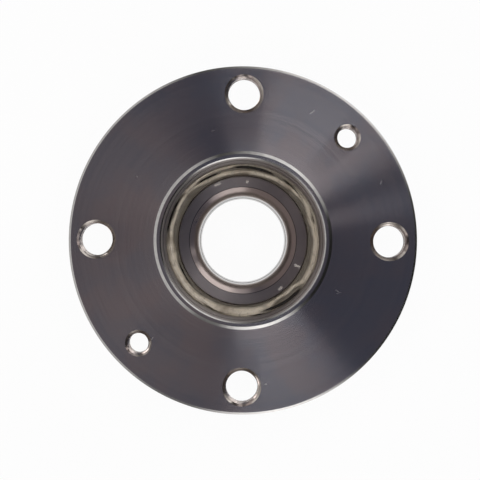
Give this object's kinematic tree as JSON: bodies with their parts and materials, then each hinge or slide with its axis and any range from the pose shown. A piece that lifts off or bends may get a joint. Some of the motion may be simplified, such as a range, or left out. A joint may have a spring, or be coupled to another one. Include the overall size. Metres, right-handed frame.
{
  "type": "wheel hub bearing",
  "caption": "Flanged wheel hub bearing: an outer ring with wheel flange and spigot turns on caged angular contact balls round a split inner ring for a stub axle.",
  "frame": {"origin": "centre of the inboard face of the inner rings, where they seat on the stub axle's shoulder", "axes": "+Z along the spin axis towards the wheel; +X through one of the wheel-bolt holes"},
  "size_m": [0.1164, 0.1164, 0.07],
  "materials": {
    "turned_steel": "fine turned, bare steel",
    "ground_steel": "ground, with an oily film",
    "ball_steel": "lapped to a mirror, greased",
    "spring_steel": "rolled strip",
    "pressed_steel": "bright pressed sheet",
    "cage_plastic": "moulded, glass filled",
    "seal_rubber": "moulded, matt black",
    "grease": "wet olive grease"
  },
  "bodies": {
    "axle_side": {"inboard_inner_ring": "ground_steel", "outboard_inner_ring": "ground_steel", "inner_ring_clip": "spring_steel", "seal_flinger": "pressed_steel"},
    "wheel_hub": {"hub_flange": "turned_steel", "seal_case": "pressed_steel", "seal_lip": "seal_rubber", "centre_grease": "grease"},
    "outboard_cage_set": {"outboard_cage": "cage_plastic", "outboard_grease": "grease"},
    "inboard_cage_set": {"inboard_cage": "cage_plastic"},
    "outboard_ball_01": {"outboard_ball_01": "ball_steel"},
    "outboard_ball_02": {"outboard_ball_02": "ball_steel"},
    "outboard_ball_03": {"outboard_ball_03": "ball_steel"},
    "outboard_ball_04": {"outboard_ball_04": "ball_steel"},
    "outboard_ball_05": {"outboard_ball_05": "ball_steel"},
    "outboard_ball_06": {"outboard_ball_06": "ball_steel"},
    "outboard_ball_07": {"outboard_ball_07": "ball_steel"},
    "outboard_ball_08": {"outboard_ball_08": "ball_steel"},
    "outboard_ball_09": {"outboard_ball_09": "ball_steel"},
    "outboard_ball_10": {"outboard_ball_10": "ball_steel"},
    "outboard_ball_11": {"outboard_ball_11": "ball_steel"},
    "outboard_ball_12": {"outboard_ball_12": "ball_steel"},
    "outboard_ball_13": {"outboard_ball_13": "ball_steel"},
    "outboard_ball_14": {"outboard_ball_14": "ball_steel"},
    "inboard_ball_01": {"inboard_ball_01": "ball_steel"},
    "inboard_ball_02": {"inboard_ball_02": "ball_steel"},
    "inboard_ball_03": {"inboard_ball_03": "ball_steel"},
    "inboard_ball_04": {"inboard_ball_04": "ball_steel"},
    "inboard_ball_05": {"inboard_ball_05": "ball_steel"},
    "inboard_ball_06": {"inboard_ball_06": "ball_steel"},
    "inboard_ball_07": {"inboard_ball_07": "ball_steel"},
    "inboard_ball_08": {"inboard_ball_08": "ball_steel"},
    "inboard_ball_09": {"inboard_ball_09": "ball_steel"},
    "inboard_ball_10": {"inboard_ball_10": "ball_steel"},
    "inboard_ball_11": {"inboard_ball_11": "ball_steel"},
    "inboard_ball_12": {"inboard_ball_12": "ball_steel"},
    "inboard_ball_13": {"inboard_ball_13": "ball_steel"},
    "inboard_ball_14": {"inboard_ball_14": "ball_steel"}
  },
  "joints": [
    {"name": "hub_spin", "type": "hinge", "parent": "axle_side", "child": "wheel_hub", "pos_m": [0, 0, 0.0235], "axis": [0, 0, 1], "continuous": true},
    {"name": "outboard_cage_orbit", "type": "hinge", "parent": "axle_side", "child": "outboard_cage_set", "pos_m": [0, 0, 0.0348], "axis": [0, 0, 1], "continuous": true},
    {"name": "outboard_ball_01_roll", "type": "hinge", "parent": "outboard_cage_set", "child": "outboard_ball_01", "pos_m": [0.02257, 0, 0.0348], "axis": [0.6157, 0, 0.788], "continuous": true},
    {"name": "outboard_ball_02_roll", "type": "hinge", "parent": "outboard_cage_set", "child": "outboard_ball_02", "pos_m": [0.02033, 0.00979, 0.0348], "axis": [0.5547, 0.2671, 0.788], "continuous": true},
    {"name": "outboard_ball_03_roll", "type": "hinge", "parent": "outboard_cage_set", "child": "outboard_ball_03", "pos_m": [0.01407, 0.01764, 0.0348], "axis": [0.3839, 0.4813, 0.788], "continuous": true},
    {"name": "outboard_ball_04_roll", "type": "hinge", "parent": "outboard_cage_set", "child": "outboard_ball_04", "pos_m": [0.00502, 0.022, 0.0348], "axis": [0.137, 0.6002, 0.788], "continuous": true},
    {"name": "outboard_ball_05_roll", "type": "hinge", "parent": "outboard_cage_set", "child": "outboard_ball_05", "pos_m": [-0.00502, 0.022, 0.0348], "axis": [-0.137, 0.6002, 0.788], "continuous": true},
    {"name": "outboard_ball_06_roll", "type": "hinge", "parent": "outboard_cage_set", "child": "outboard_ball_06", "pos_m": [-0.01407, 0.01764, 0.0348], "axis": [-0.3839, 0.4813, 0.788], "continuous": true},
    {"name": "outboard_ball_07_roll", "type": "hinge", "parent": "outboard_cage_set", "child": "outboard_ball_07", "pos_m": [-0.02033, 0.00979, 0.0348], "axis": [-0.5547, 0.2671, 0.788], "continuous": true},
    {"name": "outboard_ball_08_roll", "type": "hinge", "parent": "outboard_cage_set", "child": "outboard_ball_08", "pos_m": [-0.02257, 0, 0.0348], "axis": [-0.6157, 0, 0.788], "continuous": true},
    {"name": "outboard_ball_09_roll", "type": "hinge", "parent": "outboard_cage_set", "child": "outboard_ball_09", "pos_m": [-0.02033, -0.00979, 0.0348], "axis": [-0.5547, -0.2671, 0.788], "continuous": true},
    {"name": "outboard_ball_10_roll", "type": "hinge", "parent": "outboard_cage_set", "child": "outboard_ball_10", "pos_m": [-0.01407, -0.01764, 0.0348], "axis": [-0.3839, -0.4813, 0.788], "continuous": true},
    {"name": "outboard_ball_11_roll", "type": "hinge", "parent": "outboard_cage_set", "child": "outboard_ball_11", "pos_m": [-0.00502, -0.022, 0.0348], "axis": [-0.137, -0.6002, 0.788], "continuous": true},
    {"name": "outboard_ball_12_roll", "type": "hinge", "parent": "outboard_cage_set", "child": "outboard_ball_12", "pos_m": [0.00502, -0.022, 0.0348], "axis": [0.137, -0.6002, 0.788], "continuous": true},
    {"name": "outboard_ball_13_roll", "type": "hinge", "parent": "outboard_cage_set", "child": "outboard_ball_13", "pos_m": [0.01407, -0.01764, 0.0348], "axis": [0.3839, -0.4813, 0.788], "continuous": true},
    {"name": "outboard_ball_14_roll", "type": "hinge", "parent": "outboard_cage_set", "child": "outboard_ball_14", "pos_m": [0.02033, -0.00979, 0.0348], "axis": [0.5547, -0.2671, 0.788], "continuous": true},
    {"name": "inboard_cage_orbit", "type": "hinge", "parent": "axle_side", "child": "inboard_cage_set", "pos_m": [0, 0, 0.0122], "axis": [0, 0, 1], "continuous": true},
    {"name": "inboard_ball_01_roll", "type": "hinge", "parent": "inboard_cage_set", "child": "inboard_ball_01", "pos_m": [0.02257, 0, 0.0122], "axis": [-0.6157, 0, 0.788], "continuous": true},
    {"name": "inboard_ball_02_roll", "type": "hinge", "parent": "inboard_cage_set", "child": "inboard_ball_02", "pos_m": [0.02033, -0.00979, 0.0122], "axis": [-0.5547, 0.2671, 0.788], "continuous": true},
    {"name": "inboard_ball_03_roll", "type": "hinge", "parent": "inboard_cage_set", "child": "inboard_ball_03", "pos_m": [0.01407, -0.01764, 0.0122], "axis": [-0.3839, 0.4813, 0.788], "continuous": true},
    {"name": "inboard_ball_04_roll", "type": "hinge", "parent": "inboard_cage_set", "child": "inboard_ball_04", "pos_m": [0.00502, -0.022, 0.0122], "axis": [-0.137, 0.6002, 0.788], "continuous": true},
    {"name": "inboard_ball_05_roll", "type": "hinge", "parent": "inboard_cage_set", "child": "inboard_ball_05", "pos_m": [-0.00502, -0.022, 0.0122], "axis": [0.137, 0.6002, 0.788], "continuous": true},
    {"name": "inboard_ball_06_roll", "type": "hinge", "parent": "inboard_cage_set", "child": "inboard_ball_06", "pos_m": [-0.01407, -0.01764, 0.0122], "axis": [0.3839, 0.4813, 0.788], "continuous": true},
    {"name": "inboard_ball_07_roll", "type": "hinge", "parent": "inboard_cage_set", "child": "inboard_ball_07", "pos_m": [-0.02033, -0.00979, 0.0122], "axis": [0.5547, 0.2671, 0.788], "continuous": true},
    {"name": "inboard_ball_08_roll", "type": "hinge", "parent": "inboard_cage_set", "child": "inboard_ball_08", "pos_m": [-0.02257, 0, 0.0122], "axis": [0.6157, 0, 0.788], "continuous": true},
    {"name": "inboard_ball_09_roll", "type": "hinge", "parent": "inboard_cage_set", "child": "inboard_ball_09", "pos_m": [-0.02033, 0.00979, 0.0122], "axis": [0.5547, -0.2671, 0.788], "continuous": true},
    {"name": "inboard_ball_10_roll", "type": "hinge", "parent": "inboard_cage_set", "child": "inboard_ball_10", "pos_m": [-0.01407, 0.01764, 0.0122], "axis": [0.3839, -0.4813, 0.788], "continuous": true},
    {"name": "inboard_ball_11_roll", "type": "hinge", "parent": "inboard_cage_set", "child": "inboard_ball_11", "pos_m": [-0.00502, 0.022, 0.0122], "axis": [0.137, -0.6002, 0.788], "continuous": true},
    {"name": "inboard_ball_12_roll", "type": "hinge", "parent": "inboard_cage_set", "child": "inboard_ball_12", "pos_m": [0.00502, 0.022, 0.0122], "axis": [-0.137, -0.6002, 0.788], "continuous": true},
    {"name": "inboard_ball_13_roll", "type": "hinge", "parent": "inboard_cage_set", "child": "inboard_ball_13", "pos_m": [0.01407, 0.01764, 0.0122], "axis": [-0.3839, -0.4813, 0.788], "continuous": true},
    {"name": "inboard_ball_14_roll", "type": "hinge", "parent": "inboard_cage_set", "child": "inboard_ball_14", "pos_m": [0.02033, 0.00979, 0.0122], "axis": [-0.5547, -0.2671, 0.788], "continuous": true}
  ],
  "couplings": [
    {"joint": "outboard_cage_orbit", "follows": "hub_spin", "ratio": 0.56929},
    {"joint": "outboard_ball_01_roll", "follows": "hub_spin", "ratio": 2.7885},
    {"joint": "outboard_ball_02_roll", "follows": "hub_spin", "ratio": 2.7885},
    {"joint": "outboard_ball_03_roll", "follows": "hub_spin", "ratio": 2.7885},
    {"joint": "outboard_ball_04_roll", "follows": "hub_spin", "ratio": 2.7885},
    {"joint": "outboard_ball_05_roll", "follows": "hub_spin", "ratio": 2.7885},
    {"joint": "outboard_ball_06_roll", "follows": "hub_spin", "ratio": 2.7885},
    {"joint": "outboard_ball_07_roll", "follows": "hub_spin", "ratio": 2.7885},
    {"joint": "outboard_ball_08_roll", "follows": "hub_spin", "ratio": 2.7885},
    {"joint": "outboard_ball_09_roll", "follows": "hub_spin", "ratio": 2.7885},
    {"joint": "outboard_ball_10_roll", "follows": "hub_spin", "ratio": 2.7885},
    {"joint": "outboard_ball_11_roll", "follows": "hub_spin", "ratio": 2.7885},
    {"joint": "outboard_ball_12_roll", "follows": "hub_spin", "ratio": 2.7885},
    {"joint": "outboard_ball_13_roll", "follows": "hub_spin", "ratio": 2.7885},
    {"joint": "outboard_ball_14_roll", "follows": "hub_spin", "ratio": 2.7885},
    {"joint": "inboard_cage_orbit", "follows": "hub_spin", "ratio": 0.56929},
    {"joint": "inboard_ball_01_roll", "follows": "hub_spin", "ratio": 2.7885},
    {"joint": "inboard_ball_02_roll", "follows": "hub_spin", "ratio": 2.7885},
    {"joint": "inboard_ball_03_roll", "follows": "hub_spin", "ratio": 2.7885},
    {"joint": "inboard_ball_04_roll", "follows": "hub_spin", "ratio": 2.7885},
    {"joint": "inboard_ball_05_roll", "follows": "hub_spin", "ratio": 2.7885},
    {"joint": "inboard_ball_06_roll", "follows": "hub_spin", "ratio": 2.7885},
    {"joint": "inboard_ball_07_roll", "follows": "hub_spin", "ratio": 2.7885},
    {"joint": "inboard_ball_08_roll", "follows": "hub_spin", "ratio": 2.7885},
    {"joint": "inboard_ball_09_roll", "follows": "hub_spin", "ratio": 2.7885},
    {"joint": "inboard_ball_10_roll", "follows": "hub_spin", "ratio": 2.7885},
    {"joint": "inboard_ball_11_roll", "follows": "hub_spin", "ratio": 2.7885},
    {"joint": "inboard_ball_12_roll", "follows": "hub_spin", "ratio": 2.7885},
    {"joint": "inboard_ball_13_roll", "follows": "hub_spin", "ratio": 2.7885},
    {"joint": "inboard_ball_14_roll", "follows": "hub_spin", "ratio": 2.7885}
  ]
}
